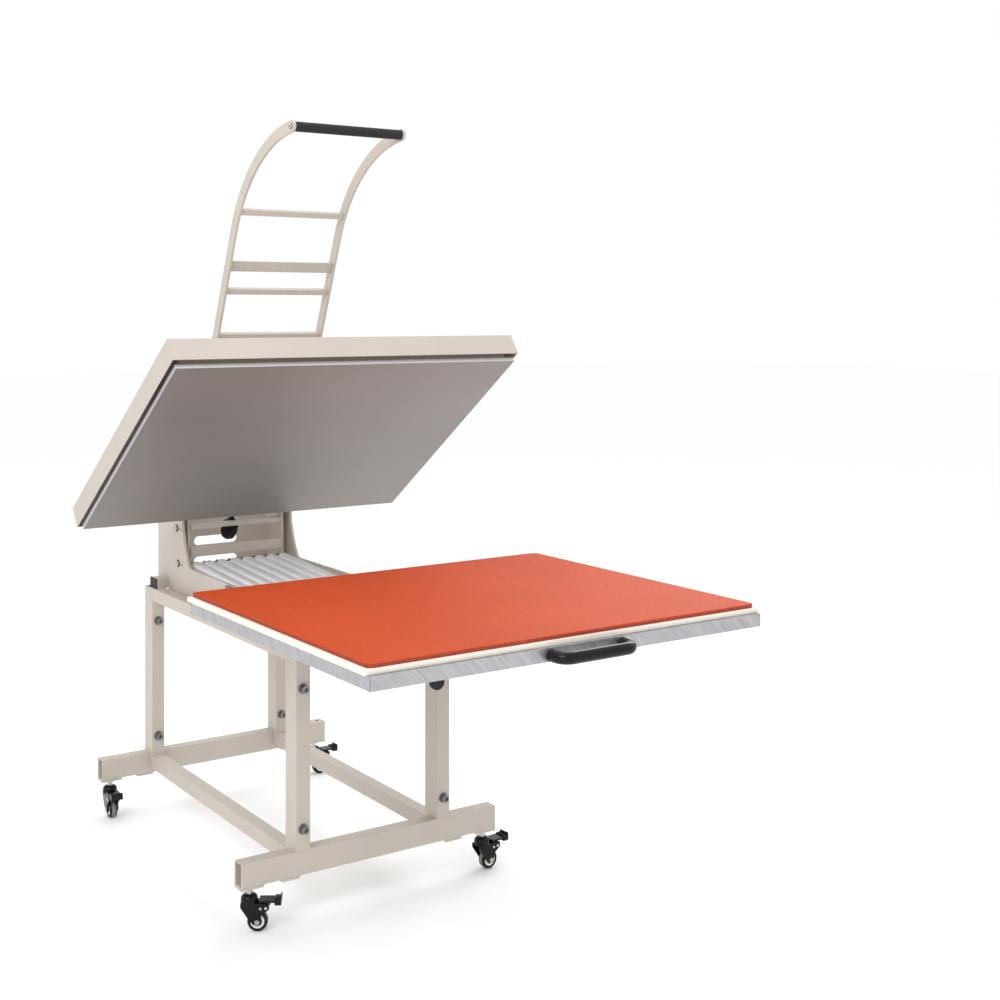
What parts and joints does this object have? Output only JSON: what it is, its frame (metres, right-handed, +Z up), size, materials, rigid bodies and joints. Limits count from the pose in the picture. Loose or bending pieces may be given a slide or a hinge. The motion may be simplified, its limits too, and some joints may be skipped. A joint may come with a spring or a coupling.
{
  "type": "heat press",
  "caption": "Large-format clamshell heat press with pull-out lower platen, ladder handle and castored stand.",
  "frame": {"origin": "floor under the middle of the outer box of the open press", "axes": "+Z up, +X across the press, -Y towards the operator, where the tray pulls out"},
  "size_m": [1.026, 1.8742, 1.974],
  "materials": {
    "beige_paint": "satin",
    "tray_metal": "satin",
    "plate_metal": "matte",
    "steel": "satin",
    "chrome": "polished",
    "black_steel": "satin",
    "black_plastic": "gloss",
    "matt_plastic": "matte",
    "silicone": "matte",
    "black_rubber": "matte",
    "felt": "matte",
    "wool_board": "matte",
    "element": "matte",
    "wheel_tread": "matte"
  },
  "bodies": {
    "stand": {"front_foot": "beige_paint", "rear_foot": "beige_paint", "foot_plates": "beige_paint", "front_posts": "beige_paint", "rear_posts": "beige_paint", "left_uprights": "beige_paint", "right_uprights": "beige_paint", "left_rails": "beige_paint", "right_rails": "beige_paint", "frame_bolts": "black_steel", "rubber_bumper": "black_rubber", "front_cross_tube": "beige_paint", "rear_cross_tube": "beige_paint", "tube_caps": "matt_plastic", "yoke_left": "beige_paint", "yoke_right": "beige_paint", "back_plate": "beige_paint", "pivot_pins": "steel", "yoke_screws": "steel", "spring_anchor": "steel", "counter_springs": "chrome", "drawer_rails": "steel"},
    "slide_middle": {"slide_members": "steel"},
    "drawer": {"tray": "tray_metal", "felt_board": "felt", "silicone_pad": "silicone", "bow_handle": "black_plastic", "drawer_runners": "steel"},
    "head": {"casing": "beige_paint", "heat_plate": "plate_metal", "heating_element": "element", "insulation": "wool_board", "head_arm_left": "beige_paint", "head_arm_right": "beige_paint", "top_bar": "beige_paint", "mid_bar": "beige_paint", "spring_bar": "steel", "pressure_bridge": "beige_paint", "control_box": "beige_paint"},
    "knob": {"pressure_knob": "black_plastic"},
    "lever": {"handle_arm_left": "beige_paint", "handle_arm_right": "beige_paint", "handle_shaft": "steel", "rungs": "beige_paint", "grip": "black_rubber", "grip_screws": "steel"},
    "rocker": {"power_switch": "matt_plastic"},
    "button": {"set_button": "matt_plastic"},
    "fork_front_left": {"caster_fork_front_left": "black_plastic"},
    "wheel_front_left": {"caster_wheel_front_left": "wheel_tread"},
    "pedal_front_left": {"brake_pedal_front_left": "black_plastic"},
    "fork_front_right": {"caster_fork_front_right": "black_plastic"},
    "wheel_front_right": {"caster_wheel_front_right": "wheel_tread"},
    "pedal_front_right": {"brake_pedal_front_right": "black_plastic"},
    "fork_rear_left": {"caster_fork_rear_left": "black_plastic"},
    "wheel_rear_left": {"caster_wheel_rear_left": "wheel_tread"},
    "pedal_rear_left": {"brake_pedal_rear_left": "black_plastic"},
    "fork_rear_right": {"caster_fork_rear_right": "black_plastic"},
    "wheel_rear_right": {"caster_wheel_rear_right": "wheel_tread"},
    "pedal_rear_right": {"brake_pedal_rear_right": "black_plastic"}
  },
  "joints": [
    {"name": "drawer_slide", "type": "slide", "parent": "stand", "child": "drawer", "axis": [0, 1, 0], "range_m": [0, 0.775]},
    {"name": "slide_extension", "type": "slide", "parent": "stand", "child": "slide_middle", "axis": [0, 1, 0], "range_m": [0, 0.3875]},
    {"name": "head_tilt", "type": "hinge", "parent": "stand", "child": "head", "pos_m": [0, 0.7859, 0.92], "axis": [1, 0, 0], "range_deg": [0, 35.6], "deforming": ["counter_springs"]},
    {"name": "handle_lever", "type": "hinge", "parent": "head", "child": "lever", "pos_m": [0, 0.7069, 1.029], "axis": [1, 0, 0], "range_deg": [0, 14]},
    {"name": "pressure_adjust", "type": "hinge", "parent": "head", "child": "knob", "pos_m": [0, 0.7809, 0.888], "axis": [0, 0.4848, -0.8746], "continuous": true},
    {"name": "power_rocker", "type": "hinge", "parent": "head", "child": "rocker", "pos_m": [0.281, 0.46069, 1.17866], "axis": [1, 0, 0], "range_deg": [0, 8]},
    {"name": "button_press", "type": "slide", "parent": "head", "child": "button", "axis": [0, 0.8131, -0.5821], "range_m": [0, 0.002], "stiffness_N_per_m": 300},
    {"name": "swivel_front_left", "type": "hinge", "parent": "stand", "child": "fork_front_left", "pos_m": [-0.341, -0.0341, 0.1], "axis": [0, 0, 1], "continuous": true},
    {"name": "roll_front_left", "type": "hinge", "parent": "fork_front_left", "child": "wheel_front_left", "pos_m": [-0.32423, -0.04499, 0.025], "axis": [0.5446, 0.8387, 0], "continuous": true},
    {"name": "brake_front_left", "type": "hinge", "parent": "fork_front_left", "child": "pedal_front_left", "pos_m": [-0.30661, -0.05643, 0.059], "axis": [0.5446, 0.8387, 0], "range_deg": [0, 8]},
    {"name": "swivel_front_right", "type": "hinge", "parent": "stand", "child": "fork_front_right", "pos_m": [0.341, -0.0341, 0.1], "axis": [0, 0, 1], "continuous": true},
    {"name": "roll_front_right", "type": "hinge", "parent": "fork_front_right", "child": "wheel_front_right", "pos_m": [0.36095, -0.0327, 0.025], "axis": [-0.0698, 0.9976, 0], "continuous": true},
    {"name": "brake_front_right", "type": "hinge", "parent": "fork_front_right", "child": "pedal_front_right", "pos_m": [0.3819, -0.03124, 0.059], "axis": [-0.0698, 0.9976, 0], "range_deg": [0, 8]},
    {"name": "swivel_rear_left", "type": "hinge", "parent": "stand", "child": "fork_rear_left", "pos_m": [-0.341, 0.9079, 0.1], "axis": [0, 0, 1], "continuous": true},
    {"name": "roll_rear_left", "type": "hinge", "parent": "fork_rear_left", "child": "wheel_rear_left", "pos_m": [-0.34274, 0.88798, 0.025], "axis": [0.9962, -0.0872, 0], "continuous": true},
    {"name": "brake_rear_left", "type": "hinge", "parent": "fork_rear_left", "child": "pedal_rear_left", "pos_m": [-0.34457, 0.86706, 0.059], "axis": [0.9962, -0.0872, 0], "range_deg": [0, 8]},
    {"name": "swivel_rear_right", "type": "hinge", "parent": "stand", "child": "fork_rear_right", "pos_m": [0.341, 0.9079, 0.1], "axis": [0, 0, 1], "continuous": true},
    {"name": "roll_rear_right", "type": "hinge", "parent": "fork_rear_right", "child": "wheel_rear_right", "pos_m": [0.361, 0.9079, 0.025], "axis": [0, 1, 0], "continuous": true},
    {"name": "brake_rear_right", "type": "hinge", "parent": "fork_rear_right", "child": "pedal_rear_right", "pos_m": [0.382, 0.9079, 0.059], "axis": [0, 1, 0], "range_deg": [0, 8]}
  ],
  "couplings": [
    {"joint": "slide_extension", "follows": "drawer_slide", "ratio": 0.5}
  ]
}
